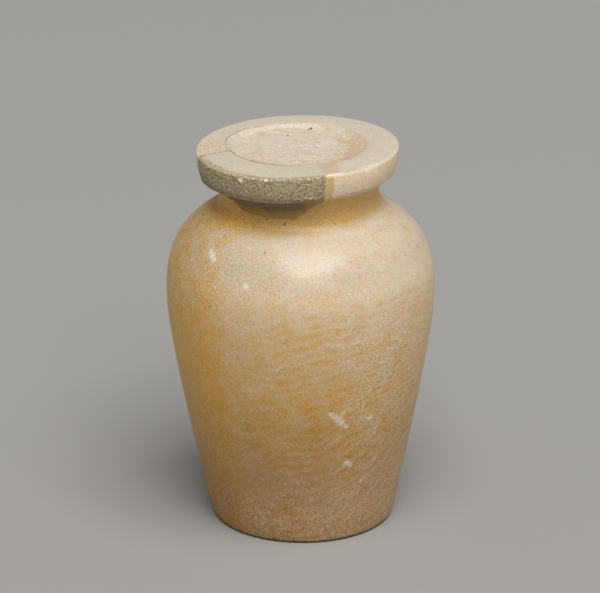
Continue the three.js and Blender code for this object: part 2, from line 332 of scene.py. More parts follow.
grainy = smooth_step(degrees, 282, 300) * before_full_turn * (1 - smooth_step(wall_height, 40, 54))
grainy = np.maximum(0.65 * grainy, 1 - smooth_step(wall_height, 5, 13))
grainy_left = smooth_step(degrees, 90, 180) * (1 - smooth_step(degrees, 228, 246))
grainy = np.maximum(grainy, 0.5 * smooth_step(wall_height, 46, 54) * grainy_left)
paint(jar_mesh, "grainy", grainy)
paint(jar_mesh, "mottled", shoulder * by_angle(degrees, [(200, 0.5), (250, 0.2), (290, 0.3), (306, 1.0), (350, 1.0)]))
paint(jar_mesh, "rim", rim)
# Dirt and painted shade: a dark ring in the crease at the neck's root, under the lip.
root = np.exp(-((wall_height - 66.9) / 0.6) ** 2)
dirt_and_shade = root * (0.22 + 0.3 * smooth_step(degrees, 225, 240) * (1 - smooth_step(degrees, 310, 335)))
dirt_and_shade = np.maximum(dirt_and_shade, 0.5 * np.exp(-((wall_height - 73.5) / 0.18) ** 2) * np.exp(-((degrees - 306) / 7) ** 2))
# Painted shade: the mouth's wall just below the seam, down in the gap round the lid, is painted dark.
mouth_shade = np.zeros(shape)
mouth_shade[top_rows.stop:top_rows.stop + 3] = 1
paint(jar_mesh, "dirt_and_shade", np.maximum(dirt_and_shade, mouth_shade))
# Painted shadow: a near-black band round the bottom of the foot stands in for its contact shadow.
foot_shadow = (1 - smooth_step(wall_height, 0.42, 0.70)) * (radii > 17)
# Dirt and painted shade: a thin dark line along the open seam round the lid.
seam_line = np.zeros(shape)
seam_line[top_rows] = 0.8 * smooth_step(top_share, 0.984, 1.0) * smooth_step(seam_gap(degrees), 0.02, 0.07)
seam_line[top_rows] *= np.clip(0.7 + 0.9 * lumps(points[top_rows], 0.9, 16), 0, 1)
break_line = on_top * smooth_step(degrees, 191.2, 191.8) * (1 - smooth_step(degrees, BREAK_FROM, BREAK_FROM + 0.3))
grime_and_shade = np.maximum(np.maximum(foot_shadow, mouth_shade), np.maximum(seam_line, 0.6 * break_line))
# Dirt and painted shade: a dark line in the fine groove just above the lip's lower arris.
arris_line = np.exp(-((wall_height - 73.45) / 0.13) ** 2) * smooth_step(degrees, 289, 294)
grime_and_shade = np.maximum(grime_and_shade, 0.5 * arris_line * (1 - smooth_step(degrees, 308, 324)) * (radii > 18))
paint(jar_mesh, "grime_and_shade", grime_and_shade)
# A pale line along the lip's lower arris at the right: wear, and painted highlight.
bright_arris = np.exp(-((wall_height - 72.85) / 0.16) ** 2) * smooth_step(degrees, 300, 306) * (radii > 18)
highlight_and_wear = 0.5 * bright_arris * (1 - smooth_step(degrees, 330, 350))
# Painted highlight: a glint along the rounded top edge of the lip at the front.
glint_line = np.zeros(shape)
glint_line[top_rows.start - 4:top_rows.start - 1] = 1
glint_line *= smooth_step(degrees, 286.2, 287.5) * (1 - smooth_step(degrees, 293, 300))
paint(jar_mesh, "highlight_and_wear", np.maximum(highlight_and_wear, 0.7 * glint_line))
sprinkled = (1 - smooth_step(wall_height, 12, 20)) * smooth_step(degrees, 236, 252) * before_full_turn
sprinkled = 0.30 + 0.70 * sprinkled
paint(jar_mesh, "sparkle", sprinkled * (1 - 0.5 * on_top))
lip_line = np.zeros(shape)
lip_line[top_rows.start - 9:top_rows.start] = 1
lip_gloss = lip_line * smooth_step(degrees, 284, 287) * (1 - smooth_step(degrees, 300, 312))
smoothed = smooth_step(wall_height, 50, 56) * (1 - smooth_step(wall_height, 61, 65))
smoothed *= smooth_step(degrees, 222, 240) * (1 - smooth_step(degrees, 292, 312))
paint(jar_mesh, "polish", np.maximum(lip_gloss, 0.65 * smoothed))


# Pale bruises from knocks, painted almost white: stun marks, and painted glints where they catch the light.
bruises = [(220.3, 61.1, 0.9), (222.5, 60.6, 1.2), (224.8, 60.0, 0.9), (230.2, 55.4, 0.5), (245.4, 56.8, 1.0),
           (283.9, 30.3, 0.9), (285.9, 29.6, 1.3), (287.5, 28.9, 1.3), (289.3, 28.1, 1.2), (291.8, 27.0, 0.9),
           (289.7, 30.5, 0.7), (304.5, 28.1, 0.9), (303.1, 27.8, 0.6), (308.2, 24.1, 0.7), (308.8, 25.1, 0.5),
           (293.7, 18.4, 1.2), (295.8, 17.9, 1.1), (310.6, 17.5, 0.6), (303.7, 13.4, 0.7), (307.6, 39.8, 0.7),
           (310.7, 43.0, 0.6), (317.1, 43.6, 0.6), (320.4, 43.7, 0.5), (302.6, 34.3, 0.7), (298.1, 33.1, 0.6),
           (296.2, 32.6, 0.5), (328.2, 31.2, 0.5), (299.7, 31.1, 0.5)]
bruise_paint = np.zeros(shape)
for mark in bruises:
    bruise_paint = np.maximum(bruise_paint, near(*mark))
bruise_paint = np.maximum(bruise_paint, np.clip(1.2 * bruised, 0, 0.5))
bruise_paint = np.maximum(bruise_paint, 0.8 * near(291.6, 77.0, 0.9))
crumbly = smooth_step(degrees, 183, 187) * (1 - smooth_step(degrees, 192, 193)) * np.exp(-((radii - 19.8) / 0.5) ** 2)
bruise_paint = np.maximum(bruise_paint, 0.6 * crumbly * smooth_step(wall_height, 75.5, 76.5))
far_edge = smooth_step(degrees, 330, 345) + 1 - smooth_step(degrees, 20, 40)
bruise_paint = np.maximum(bruise_paint, 0.35 * far_edge * np.exp(-((radii - 19.8) / 0.3) ** 2) * (wall_height > 76))
paint(jar_mesh, "bruise_and_glint", bruise_paint)

pits = [(228.2, 51.4, 0.4), (232.0, 60.9, 0.35), (251.0, 62.7, 0.3), (258.1, 43.0, 0.35), (289.2, 50.6, 0.35),
        (340.3, 33.8, 0.45), (232.9, 24.6, 0.35), (284.0, 31.2, 0.4), (290.1, 30.9, 0.35), (293.1, 24.3, 0.35),
        (258.6, 66.9, 0.5), (259.6, 67.0, 0.45), (294.6, 66.6, 0.4), (303.0, 66.9, 0.4), (322.0, 66.9, 0.35),
        (239.1, 59.8, 0.3), (310.9, 43.3, 0.35), (307.0, 39.5, 0.35), (246.0, 67.6, 0.4), (266.0, 68.4, 0.35)]
pit_paint = np.zeros(shape)
for mark in pits:
    pit_paint = np.maximum(pit_paint, near(*mark))
paint(jar_mesh, "pit", pit_paint)
torn = 290.6 + 0.7 * lumps(points, 0.9, 17) + 0.5 * lumps(points, 0.35, 18)
fracture = smooth_step(degrees, BREAK_TO - 0.5, BREAK_TO + 0.2) * (1 - smooth_step(degrees, torn - 0.2, torn + 0.2))
fracture = fracture * smooth_step(wall_height, 72.4, 73.2) * (1 - on_top)
paint(jar_mesh, "fracture", fracture)
x, y = points[..., 0], points[..., 1]
patch = (1 - smooth_step(x + 0.12 * (y + 14), 6.8, 8.0)) * (1 - smooth_step(y, -12.5, -9.5))
patch *= smooth_step(y, -18.6, -16.4) * smooth_step(x, 2.8, 4.6) * (0.8 + 0.3 * lumps(points, 1.6, 15))
stain_and_shade = on_top * smooth_step(degrees, BREAK_TO - 2, BREAK_TO) * patch
stain_and_shade = np.maximum(stain_and_shade, 0.7 * on_top * smooth_step(degrees, 182, 190) * (1 - smooth_step(degrees, 192.5, 193)))
stain_and_shade = np.maximum(stain_and_shade, 0.5 * on_top * smooth_step(degrees, 150, 185) * np.clip(0.4 + cloud, 0, 1)
                   * (1 - smooth_step(degrees, 192.5, 193)))
paint(jar_mesh, "stain_and_shade", stain_and_shade)
bedded = on_top * smooth_step(degrees, BREAK_TO - 2, BREAK_TO) * (1 - smooth_step(x, 3.4, 5.2))
paint(jar_mesh, "limed", bedded)


def wire(tree, target, value):
    """Sets a node's input: a link from another node's output, or a plain value."""
    if isinstance(value, bpy.types.NodeSocket):
        tree.links.new(value, target)
    else:
        target.default_value = value


def step(tree, operation, a, b=0.0, c=0.0):
    """One step of arithmetic on numbers, such as ADD, MULTIPLY or SINE."""
    node = tree.nodes.new("ShaderNodeMath")
    node.operation = operation
    for target, value in zip(node.inputs, (a, b, c)):
        wire(tree, target, value)
    return node.outputs[0]


def ease(tree, value, low, high, to_low=0.0, to_high=1.0):
    """Carries value from the range low..high to the range to_low..to_high with a soft start and end."""
    node = tree.nodes.new("ShaderNodeMapRange")
    node.interpolation_type = "SMOOTHSTEP"
    for target, given in zip(node.inputs, (value, low, high, to_low, to_high)):
        wire(tree, target, given)
    return node.outputs[0]


def blend(tree, share, a, b):
    """A colour that is a where share is 0 and b where it is 1."""
    node = tree.nodes.new("ShaderNodeMix")
    node.data_type = "RGBA"
    for target, given in zip((node.inputs[0], node.inputs[6], node.inputs[7]), (share, a, b)):
        wire(tree, target, given)
    return node.outputs[2]


def grains(tree, place, size, detail=2.0, roughness=0.5, stretch=(1, 1, 1)):
    """Noise from 0 to 1 whose lumps are about size millimetres across; stretch squeezes it along an axis."""
    if tuple(stretch) != (1, 1, 1):
        mapping = tree.nodes.new("ShaderNodeMapping")
        wire(tree, mapping.inputs["Vector"], place)
        mapping.inputs["Scale"].default_value = stretch
        place = mapping.outputs[0]
    node = tree.nodes.new("ShaderNodeTexNoise")
    wire(tree, node.inputs["Vector"], place)
    node.inputs["Scale"].default_value = 1 / size
    node.inputs["Detail"].default_value = detail
    node.inputs["Roughness"].default_value = roughness
    return node.outputs["Fac"]


def brighten(tree, colour, factor, saturation=1.0):
    """The colour made that many times as bright and as saturated."""
    node = tree.nodes.new("ShaderNodeHueSaturation")
    wire(tree, node.inputs["Color"], colour)
    wire(tree, node.inputs["Value"], factor)
    wire(tree, node.inputs["Saturation"], saturation)
    return node.outputs[0]


def painted(tree, name):
    """The number that paint() kept under that name."""
    node = tree.nodes.new("ShaderNodeAttribute")
    node.attribute_name = name
    return node.outputs["Fac"]


def millimetres(tree):
    """The place on the object in millimetres."""
    where = tree.nodes.new("ShaderNodeTexCoord")
    scale = tree.nodes.new("ShaderNodeVectorMath")
    scale.operation = "SCALE"
    tree.links.new(where.outputs["Object"], scale.inputs[0])
    scale.inputs["Scale"].default_value = 1 / MM
    return scale.outputs[0]


def new_group(name, inputs, outputs):
    """A shader node group with named inputs and outputs; returns it with its input and output nodes."""
    tree = bpy.data.node_groups.new(name, "ShaderNodeTree")
    for label, kind in inputs:
        tree.interface.new_socket(label, in_out="INPUT", socket_type=kind)
    for label, kind in outputs:
        tree.interface.new_socket(label, in_out="OUTPUT", socket_type=kind)
    return tree, tree.nodes.new("NodeGroupInput"), tree.nodes.new("NodeGroupOutput")


# Travertine's figure: growth layers cut across by the surface show as fine ripples of gold and cream,
# broken up by crystal grain. They steepen at the lower right. Cream says how pale the stone is, Bands how
# strong its ripples are and Mottled how blotchy it is.
BAND_PITCH = 2.0
BAND_SLOPE = (-0.22, 0.25, 1.0)
BAND_BEND = -0.024
NUMBER = "NodeSocketFloat"
figure, given, result = new_group(
    "travertine_figure",
    [("Place", "NodeSocketVector"), ("Cream", NUMBER), ("Bands", NUMBER), ("Mottled", NUMBER)],
    [("Pale", NUMBER), ("Grain", NUMBER)],
)
place = given.outputs["Place"]
layers = figure.nodes.new("ShaderNodeVectorMath")
layers.operation = "DOT_PRODUCT"
figure.links.new(place, layers.inputs[0])
layers.inputs[1].default_value = BAND_SLOPE
drift = step(figure, "MULTIPLY", grains(figure, place, 8.0, 1.0), 2.4)
waver = step(figure, "MULTIPLY", grains(figure, place, 2.2, 1.0), 0.7)
axes = figure.nodes.new("ShaderNodeSeparateXYZ")
figure.links.new(place, axes.inputs[0])
right = step(figure, "MAXIMUM", axes.outputs["X"], 0.0)
bend = step(figure, "MULTIPLY", ease(figure, axes.outputs["Z"], 20.0, 46.0, BAND_BEND, 0.0), right)
bent_layers = step(figure, "MULTIPLY_ADD", bend, right, layers.outputs["Value"])
phase = step(figure, "DIVIDE", bent_layers, BAND_PITCH)
phase = step(figure, "ADD", phase, step(figure, "ADD", drift, waver))
ripple = step(figure, "SINE", step(figure, "MULTIPLY", phase, 2 * math.pi))
strength = ease(figure, grains(figure, place, 2.6, 1.0), 0.38, 0.60, 0.1, 1.0)
ripple = step(figure, "MULTIPLY", step(figure, "MULTIPLY", ripple, strength), given.outputs["Bands"])
cloud = step(figure, "SUBTRACT", grains(figure, place, 3.6, 1.0, 0.6), 0.5)
mottle = step(figure, "SUBTRACT", grains(figure, place, 2.0, 1.0, 0.5), 0.5)
fine = step(figure, "SUBTRACT", grains(figure, place, 0.40, 2.0, 0.75), 0.5)
pale = step(figure, "MULTIPLY_ADD", ripple, 0.24, given.outputs["Cream"])
pale = step(figure, "MULTIPLY_ADD", cloud, 0.8, pale)
mottling = step(figure, "MULTIPLY_ADD", given.outputs["Mottled"], 1.7, 0.4)
pale = step(figure, "MULTIPLY_ADD", mottle, mottling, pale)
pale = step(figure, "MULTIPLY_ADD", fine, 0.05, pale)
pale = step(figure, "MINIMUM", step(figure, "MAXIMUM", pale, 0.0), 1.0)
figure.links.new(pale, result.inputs["Pale"])
figure.links.new(fine, result.inputs["Grain"])

# Crystal faces catch the light as tiny pale dots, and a few dark ones are dirt in pores. Share says how
# many of the cells, each Cell millimetres wide, hold a dot.
dots, given, result = new_group(
    "stone_dots",
    [("Place", "NodeSocketVector"), ("Cell", NUMBER), ("Radius", NUMBER), ("Share", NUMBER)],
    [("Dots", NUMBER)],
)
cells = dots.nodes.new("ShaderNodeTexVoronoi")
dots.links.new(given.outputs["Place"], cells.inputs["Vector"])
dots.links.new(step(dots, "DIVIDE", 1.0, given.outputs["Cell"]), cells.inputs["Scale"])
lot = dots.nodes.new("ShaderNodeSeparateColor")
dots.links.new(cells.outputs["Color"], lot.inputs[0])
size = step(dots, "MULTIPLY", given.outputs["Radius"], step(dots, "ADD", lot.outputs[1], 0.5))
reach = step(dots, "MULTIPLY", cells.outputs["Distance"], given.outputs["Cell"])
inside_dot = ease(dots, reach, size, step(dots, "MULTIPLY", size, 0.5), 0.0, 1.0)
chosen = step(dots, "LESS_THAN", lot.outputs[0], given.outputs["Share"])
dots.links.new(step(dots, "MULTIPLY", inside_dot, chosen), result.inputs["Dots"])


def dotted(tree, place, cell, radius, share):
    """A mask of dots from the stone_dots group, with its values in millimetres."""
    node = tree.nodes.new("ShaderNodeGroup")
    node.node_tree = dots
    for label, value in (("Place", place), ("Cell", cell), ("Radius", radius), ("Share", share)):
        wire(tree, node.inputs[label], value)
    return node.outputs["Dots"]


DEEP = (0.690, 0.398, 0.075, 1)
PALE = (0.700, 0.580, 0.425, 1)
DEEP_LOW = (0.430, 0.212, 0.040, 1)
PALE_LOW = (0.510, 0.375, 0.235, 1)
GLOWING_OCHRE = (0.740, 0.420, 0.060, 1)
WORN = (0.600, 0.520, 0.410, 1)
LIME = (0.520, 0.455, 0.340, 1)
GLINT = (0.960, 0.950, 0.920, 1)
RIM = (0.760, 0.620, 0.440, 1)
STAIN_AND_SHADE = (0.560, 0.410, 0.240, 1)
DIRT_AND_SHADE = (0.045, 0.025, 0.010, 1)
WHITE = (0.86, 0.83, 0.77, 1)
FRACTURE = (0.62, 0.44, 0.18, 1)

stone = bpy.data.materials.new("travertine")
stone.use_nodes = True
tree = stone.node_tree
shader = tree.nodes["Principled BSDF"]
place = millimetres(tree)
figured = tree.nodes.new("ShaderNodeGroup")
figured.node_tree = figure
wire(tree, figured.inputs["Place"], place)
wire(tree, figured.inputs["Cream"], painted(tree, "cream"))
wire(tree, figured.inputs["Bands"], painted(tree, "bands"))
wire(tree, figured.inputs["Mottled"], painted(tree, "mottled"))
# The low colours are darker towards the foot, partly painted shade.
deep = blend(tree, painted(tree, "low"), DEEP, DEEP_LOW)
pale = blend(tree, painted(tree, "low"), PALE, PALE_LOW)
colour = blend(tree, figured.outputs["Pale"], deep, pale)
speckle = grains(tree, place, 0.30, 2.0, 0.7)
patchy = grains(tree, place, 2.2, 3.0, 0.6)
# Golden neck and lip band: the stone's own ochre, and painted glow of light through the stone.
colour = blend(tree, painted(tree, "ochre_and_glow"), colour, GLOWING_OCHRE)
colour = blend(tree, step(tree, "MULTIPLY", painted(tree, "rim"), ease(tree, patchy, 0.25, 0.6, 0.6, 1.0)), colour, RIM)
colour = blend(tree, step(tree, "MULTIPLY", painted(tree, "worn"), ease(tree, patchy, 0.3, 0.6, 0.7, 1.0)), colour, WORN)
stained = step(tree, "MULTIPLY_ADD", step(tree, "SUBTRACT", speckle, 0.5), 0.5, painted(tree, "stain_and_shade"))
colour = blend(tree, ease(tree, stained, 0.1, 0.9, 0.0, 0.85), colour, STAIN_AND_SHADE)
colour = blend(tree, step(tree, "MULTIPLY", painted(tree, "limed"), 0.9), colour, LIME)
coarseness = step(tree, "MULTIPLY_ADD", painted(tree, "grainy"), 1.1, 0.6)
sugary = step(tree, "MULTIPLY_ADD", figured.outputs["Grain"], coarseness, 1.0)
colour = brighten(tree, colour, sugary, step(tree, "DIVIDE", 1.0, sugary))
# Painted shade: this darkens the colour wherever the painted value is below 1.
colour = brighten(tree, colour, painted(tree, "painted_shade_tone"))
# Painted highlight and wear: pale lines on the lip's edges.
colour = blend(tree, painted(tree, "highlight_and_wear"), colour, WHITE)
sparkle = dotted(tree, place, 0.50, 0.11, step(tree, "MULTIPLY", painted(tree, "sparkle"), 0.6))
colour = blend(tree, step(tree, "MULTIPLY", sparkle, 0.55), colour, WHITE)
fresh = step(tree, "MULTIPLY", painted(tree, "fracture"), ease(tree, speckle, 0.35, 0.6, 0.6, 1.0))
colour = blend(tree, fresh, colour, FRACTURE)
crumb = grains(tree, place, 0.34, 2.0, 0.7)
# Bruises in the near-white of a glint: partly painted highlight.
bruise_and_glint = step(tree, "MULTIPLY_ADD", step(tree, "SUBTRACT", crumb, 0.5), 1.8, painted(tree, "bruise_and_glint"))
bruise_and_glint = step(tree, "MULTIPLY", ease(tree, bruise_and_glint, 0.1, 1.5), ease(tree, painted(tree, "bruise_and_glint"), 0.0, 0.8))
colour = blend(tree, step(tree, "MULTIPLY", bruise_and_glint, 0.8), colour, GLINT)
# Dirt, and painted shade in the neck's crease, the mouth's gap and round the foot, darken the colour.
soil_and_shade = step(tree, "SUBTRACT", grains(tree, place, 0.45, 4.0, 0.75), 0.5)
soil_and_shade = step(tree, "MULTIPLY_ADD", soil_and_shade, 2.4, painted(tree, "dirt_and_shade"))
soil_and_shade = step(tree, "MULTIPLY", ease(tree, soil_and_shade, 0.45, 1.2, 0.0, 0.55), ease(tree, painted(tree, "dirt_and_shade"), 0.05, 0.4))
soil_and_shade = step(tree, "MAXIMUM", soil_and_shade, painted(tree, "grime_and_shade"))
specks = dotted(tree, place, 3.2, 0.10, 0.35)
pit = step(tree, "MULTIPLY_ADD", step(tree, "SUBTRACT", crumb, 0.5), 0.8, painted(tree, "pit"))
pit = step(tree, "MAXIMUM", ease(tree, pit, 0.45, 0.90), step(tree, "MULTIPLY", specks, 0.6))
dark = step(tree, "MAXIMUM", soil_and_shade, pit)
colour = blend(tree, step(tree, "MULTIPLY", dark, 0.9), colour, DIRT_AND_SHADE)
tree.links.new(colour, shader.inputs["Base Color"])
rough = step(tree, "MULTIPLY_ADD", figured.outputs["Grain"], 0.30, 0.44)
rough = step(tree, "MULTIPLY_ADD", step(tree, "MAXIMUM", bruise_and_glint, dark), 0.3, rough)
rough = step(tree, "MULTIPLY_ADD", painted(tree, "polish"), -0.25, rough)
tree.links.new(rough, shader.inputs["Roughness"])
turned = grains(tree, place, 0.7, 2.0, 0.6, stretch=(0.08, 0.08, 2.4))
relief = step(tree, "MULTIPLY_ADD", turned, 0.30, step(tree, "MULTIPLY", figured.outputs["Grain"], 0.45))
relief = step(tree, "MULTIPLY_ADD", step(tree, "MULTIPLY", bruise_and_glint, crumb), 1.3, relief)
relief = step(tree, "MULTIPLY_ADD", step(tree, "MULTIPLY", painted(tree, "fracture"), crumb), 1.0, relief)
relief = step(tree, "MULTIPLY_ADD", dark, -0.9, relief)
relief = step(tree, "MULTIPLY_ADD", sparkle, 0.3, relief)
bump = tree.nodes.new("ShaderNodeBump")
bump.inputs["Strength"].default_value = 0.5
bump.inputs["Distance"].default_value = 0.12 * MM
tree.links.new(relief, bump.inputs["Height"])
tree.links.new(bump.outputs[0], shader.inputs["Normal"])
shader.inputs["Specular IOR Level"].default_value = 0.50
tree.links.new(step(tree, "MULTIPLY_ADD", painted(tree, "opaque"), -0.72, 0.80), shader.inputs["Subsurface Weight"])
shader.inputs["Subsurface Radius"].default_value = (1.0, 0.55, 0.22)
shader.inputs["Subsurface Scale"].default_value = 8.0 * MM
show("jar_stone", jar_mesh, stone, "jar")

# Lid
# A disc of the same stone, let into the mouth by hand and level with the lip, with a shallow dish rubbed
# into its top. A thin seam, dark with dirt and painted shade in the gap, marks its edge at the left and front;
# at the right the joint is lost.
LID_FOOT = 72.85
LID_FOOT_RADIUS = 10.8
lid_degrees = np.linspace(0, 360, 360, endpoint=False)
lid_angles = np.radians(lid_degrees)
edge_radius = seam_radius(lid_degrees) - seam_gap(lid_degrees)
ring = np.concatenate([np.linspace(0, 0.5, 16), np.linspace(0.5, 0.98, 66)[1:], [0.985, 0.991, 0.996, 1.0]])[:, None]
lid_radii = ring * edge_radius
edge_worn = 0.05 * smooth_step(seam_gap(lid_degrees), 0.02, 0.1)
lid_heights = dished(lid_radii, lid_degrees) - edge_worn * smooth_step(lid_radii, edge_radius - 0.25, edge_radius) ** 2
top = np.stack([lid_radii * np.cos(lid_angles), lid_radii * np.sin(lid_angles), lid_heights], axis=-1)
side_share = np.linspace(0, 1, 6)[1:, None]
side_radii = (edge_radius - 0.15) * (1 - side_share) + LID_FOOT_RADIUS * side_share
side_heights = (lid_heights[-1] - 0.4) * (1 - side_share) + LID_FOOT * side_share
side = np.stack([side_radii * np.cos(lid_angles), side_radii * np.sin(lid_angles), side_heights], axis=-1)
under = np.stack([0 * lid_angles, 0 * lid_angles, LID_FOOT + 0 * lid_angles], axis=-1)[None]
lid_points = np.concatenate([top, side, under])[::-1]
lid_points[..., 0] += LIP_SHIFT
lid_points[..., 2] += (0.05 * lumps(lid_points, 4.0, 11) + 0.02 * lumps(lid_points, 1.2, 12)) * (lid_points[..., 2] > 76)
lid_mesh = grid_mesh("lid_stone", lid_points)
lid_place = np.linalg.norm(lid_points[..., :2] - (LIP_SHIFT, 0), axis=-1)
# Painted shade: the dish's right wall, which faces away from the light, is painted tan.
shaded_side = smooth_step(np.cos(lid_angles + math.radians(15)), 0.3, 0.9) * smooth_step(lid_place, 7.5, 11)
paint(lid_mesh, "cream", 0.75 + 0.25 * lumps(lid_points, 5.0, 13))
# Painted shade: the lid's side, down in the gap, is dark, with a line of dirt and shade where the seam is open.
lid_line = np.zeros(lid_place.shape)
lid_line[:len(side) + 1] = 1
lid_line[len(side) + 1:] = 0.8 * (smooth_step(ring, 0.988, 0.999) * smooth_step(seam_gap(lid_degrees), 0.02, 0.07))[::-1]
paint(lid_mesh, "grime_and_shade", lid_line)
# Painted highlight: a faint pale line along the far brink of the dish.
back_highlight = smooth_step(lid_place, 13.35, 13.55) * smooth_step(lid_degrees, 76, 84) * (1 - smooth_step(lid_degrees, 98, 108))
paint(lid_mesh, "highlight_and_wear", 0.15 * back_highlight)
paint(lid_mesh, "stain_and_shade", shaded_side)
paint(lid_mesh, "rosy", 0.75 * (1 - smooth_step(lid_place, 8, 13)))
specks = [(1.6, 12.2), (2.1, 12.6), (-2.6, 8.4)]
speck_paint = np.zeros(lid_place.shape)
for x, y in specks:
    away = np.linalg.norm(lid_points[..., :2] - (x, y), axis=-1)
    speck_paint = np.maximum(speck_paint, 1 - smooth_step(away, 0.12, 0.42))
paint(lid_mesh, "pit", speck_paint)

LID_PALE = (0.640, 0.555, 0.440, 1)
LID_ROSY = (0.635, 0.535, 0.430, 1)
LID_DEEP = (0.560, 0.440, 0.300, 1)
lid_stone = bpy.data.materials.new("lid_travertine")
lid_stone.use_nodes = True
tree = lid_stone.node_tree
shader = tree.nodes["Principled BSDF"]
place = millimetres(tree)
figured = tree.nodes.new("ShaderNodeGroup")
figured.node_tree = figure
wire(tree, figured.inputs["Place"], place)
wire(tree, figured.inputs["Cream"], painted(tree, "cream"))
figured.inputs["Bands"].default_value = 0.1
figured.inputs["Mottled"].default_value = 0.25
pale = blend(tree, painted(tree, "rosy"), LID_PALE, LID_ROSY)
colour = blend(tree, figured.outputs["Pale"], LID_DEEP, pale)
fine_speck = grains(tree, place, 0.42, 2.0, 0.8)
cloudy = grains(tree, place, 2.2, 4.0, 0.65)
colour = blend(tree, ease(tree, cloudy, 0.50, 0.66, 0.0, 0.6), colour, STAIN_AND_SHADE)
# Painted shade on the dish's right wall.
colour = blend(tree, step(tree, "MULTIPLY", painted(tree, "stain_and_shade"), 0.75), colour, STAIN_AND_SHADE)
streaks = grains(tree, place, 1.3, 4.0, 0.7, stretch=(0.4, 1.6, 1.0))
colour = blend(tree, ease(tree, streaks, 0.54, 0.70, 0.0, 0.6), colour, WHITE)
colour = brighten(tree, colour, step(tree, "MULTIPLY_ADD", step(tree, "SUBTRACT", fine_speck, 0.5), 1.0, 1.0))
# Painted highlight on the dish's far brink.
colour = blend(tree, painted(tree, "highlight_and_wear"), colour, WHITE)
# Dark pits, and the dirt and painted shade of the seam.
dark = step(tree, "MAXIMUM", ease(tree, painted(tree, "pit"), 0.4, 0.8), painted(tree, "grime_and_shade"))
colour = blend(tree, dark, colour, DIRT_AND_SHADE)
tree.links.new(colour, shader.inputs["Base Color"])
shader.inputs["Roughness"].default_value = 0.55
bump = tree.nodes.new("ShaderNodeBump")
bump.inputs["Strength"].default_value = 0.5
bump.inputs["Distance"].default_value = 0.10 * MM
relief = step(tree, "MULTIPLY_ADD", dark, -1.0, step(tree, "MULTIPLY", figured.outputs["Grain"], 0.5))
tree.links.new(relief, bump.inputs["Height"])
tree.links.new(bump.outputs[0], shader.inputs["Normal"])
shader.inputs["Subsurface Weight"].default_value = 0.15
shader.inputs["Subsurface Radius"].default_value = (1.0, 0.6, 0.3)
shader.inputs["Subsurface Scale"].default_value = 1.5 * MM
show("lid_stone", lid_mesh, lid_stone, "lid")

# Mortar
# The front left quarter of the lip is lost. A restorer packed its place with sandy mortar, smoothed the
# top and left the outer face rough and pitted, with a thin smear down into the groove of the neck.
mortar_degrees = np.linspace(BREAK_FROM + 0.25, BREAK_TO - 0.02, 300)
mortar_angles = np.radians(mortar_degrees)
smear_foot = by_angle(mortar_degrees, [(190, 72.3), (206, 71.6), (216, 70.2), (226, 68.4), (240, 67.9), (252, 67.5),
                                       (260, 67.8), (266, 68.0), (272, 68.9), (278, 70.3), (286, 72.0)])
smear_foot = smear_foot + 0.25 * lumps(leaned(15.0, mortar_angles, 68.0 + 0 * mortar_angles), 0.9, 25)
cove = np.concatenate([below_cove[-5:], lip_stretch[:16]])
cove_share = np.linspace(0, 1, 44)[:, None]
cove_heights = smear_foot + (ARRIS_HEIGHT - smear_foot) * cove_share
cove_radii = np.interp(cove_heights, cove[:, 1], cove[:, 0])
smear_thickness = 0.02 + 0.20 * smooth_step(cove_share, 0.0, 0.5) - 0.2 * smooth_step(cove_share, 0.8, 1.0)
smear = (cove_radii + smear_thickness, cove_heights)
band = lip_stretch[15:32]
band_heights = np.linspace(ARRIS_HEIGHT, HEIGHT - LIP_ROUNDING, 44)[1:, None] + 0 * mortar_angles
face = (np.interp(band_heights, band[:, 1], band[:, 0]), band_heights)
edge = curve(lip_edge, (LIP_RADIUS, HEIGHT - 0.3), (lip_inset[0] + 0.5, lip_inset[1]), lip_inset, 9)
edge = (edge[:, :1] + 0 * mortar_angles, edge[:, 1:] + 0 * mortar_angles)
flat_share = np.linspace(0, 1, 46)[1:, None]
inner_radius = seam_radius(mortar_degrees)
flat = (lip_inset[0] * (1 - flat_share) + inner_radius * flat_share, HEIGHT + 0 * flat_share + 0 * mortar_angles)
back_share = np.linspace(0, 1, 8)[:, None]
back = (BREAK_TOP[0] + 0.10 + (BREAK_FOOT[0] - BREAK_TOP[0]) * back_share + 0 * mortar_angles,
        BREAK_TOP[1] + (BREAK_FOOT[1] - BREAK_TOP[1]) * back_share + 0 * mortar_angles)
foot_heights = BREAK_FOOT[1] + (np.minimum(smear_foot + 0.1, BREAK_FOOT[1]) - BREAK_FOOT[1]) * back_share[1:]
foot_back = (np.interp(foot_heights, cove[:, 1], cove[:, 0]) + 0.01, foot_heights)
stretches = [smear, face, edge, flat, back, foot_back]
mortar_radii = np.concatenate([s[0] for s in stretches])
mortar_heights = np.concatenate([s[1] for s in stretches])
mortar_points = leaned(mortar_radii, mortar_angles, mortar_heights)
smear_rows, face_rows, edge_rows, flat_rows, back_rows = np.cumsum([0] + [len(s[0]) for s in stretches])[:5]
mortar_points[..., 2] -= TOP_SAG * mended(mortar_degrees) * smooth_step(mortar_heights, 70, 73)
edge_worn = 0.04 * smooth_step(flat_share, 0.94, 1.0) * (1 - smooth_step(mortar_degrees, 262, 284))
mortar_points[flat_rows:back_rows, :, 2] = dished(flat[0], mortar_degrees) - edge_worn
outward = np.stack([np.cos(mortar_angles), np.sin(mortar_angles), 0 * mortar_angles], axis=-1)
rough_share = np.zeros(mortar_radii.shape)
rough_share[smear_rows:face_rows] = 0.35 * smooth_step(cove_share, 0.1, 0.5)
rough_share[face_rows:edge_rows] = 1.0
rough_share[edge_rows:flat_rows] = np.linspace(1.0, 0.25, flat_rows - edge_rows)[:, None]
rough_share[flat_rows:back_rows] = 0.12
coarse = lumps(mortar_points, 0.85, 21)
sandy = lumps(mortar_points, 0.38, 22)
grit = lumps(mortar_points, 0.2, 23)
